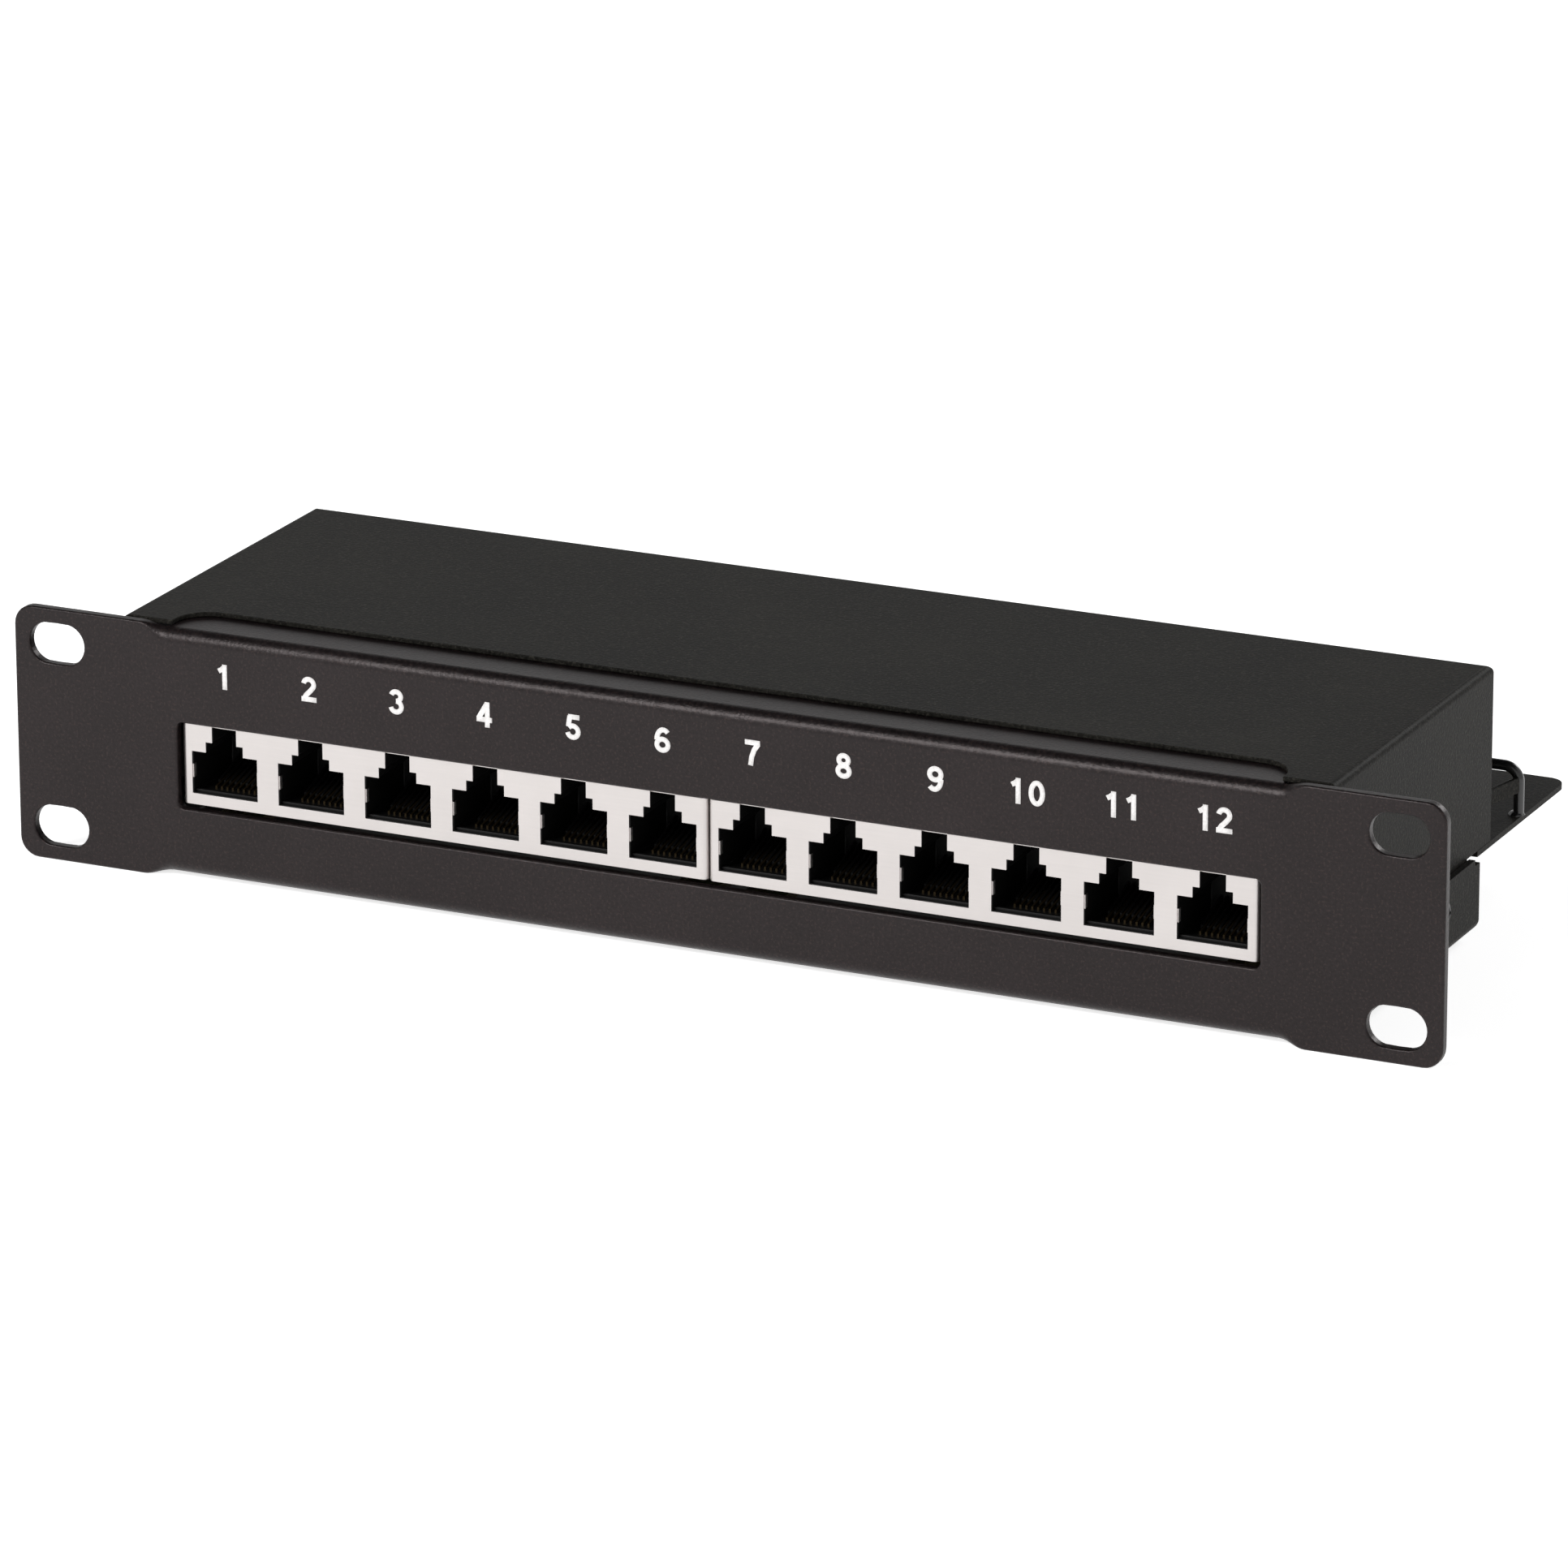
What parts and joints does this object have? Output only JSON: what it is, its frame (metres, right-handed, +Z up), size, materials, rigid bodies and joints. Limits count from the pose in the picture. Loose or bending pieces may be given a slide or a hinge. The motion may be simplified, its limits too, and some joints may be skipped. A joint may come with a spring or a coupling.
{
  "type": "rack patch panel",
  "caption": "Short-rack, one-unit patch panel: bent black front with shielded sockets, lift-off cover over the boards and punch-down blocks, rear cable tray with lacing bar.",
  "frame": {"origin": "centre of the front panel's front face, which is the centre of the four rack slots", "axes": "+X to the right as seen from the front, +Y to the back, +Z up; the front faces -Y"},
  "size_m": [0.254, 0.105, 0.044],
  "materials": {
    "panel_black": "fine-textured satin powder coat",
    "shell_black": "fine-textured satin powder coat",
    "bar_black": "semi-gloss paint",
    "screw_black": "black zinc",
    "zinc": "zinc plated",
    "brass_plated": "nickel-plated brass",
    "board_green": "solder mask",
    "nickel": "satin nickel",
    "socket_plastic": "moulded",
    "gold_contact": "gold flash",
    "block_plastic": "moulded",
    "tin_blade": "tin plated"
  },
  "bodies": {
    "chassis": {"front_panel": "panel_black", "lower_shell": "shell_black", "cable_tray": "shell_black", "lacing_bar": "bar_black", "bar_brackets": "shell_black", "bracket_rivets": "zinc", "tray_screws": "screw_black", "board_standoffs": "brass_plated", "board_screws": "zinc", "board_left": "board_green", "board_right": "board_green", "shield_left": "nickel", "shield_right": "nickel", "socket_1": "socket_plastic", "socket_2": "socket_plastic", "socket_3": "socket_plastic", "socket_4": "socket_plastic", "socket_5": "socket_plastic", "socket_6": "socket_plastic", "socket_7": "socket_plastic", "socket_8": "socket_plastic", "socket_9": "socket_plastic", "socket_10": "socket_plastic", "socket_11": "socket_plastic", "socket_12": "socket_plastic", "contacts_left": "gold_contact", "contacts_right": "gold_contact", "punch_block_1": "block_plastic", "punch_block_2": "block_plastic", "punch_block_3": "block_plastic", "punch_block_4": "block_plastic", "punch_block_5": "block_plastic", "punch_block_6": "block_plastic", "punch_blades_left": "tin_blade", "punch_blades_right": "tin_blade", "ground_stud": "zinc", "cover_screws": "screw_black"},
    "cover": {"top_cover": "shell_black"}
  },
  "joints": [
    {"name": "cover_lift", "type": "slide", "parent": "chassis", "child": "cover", "axis": [0, 0, 1], "range_m": [0, 0.06]}
  ]
}
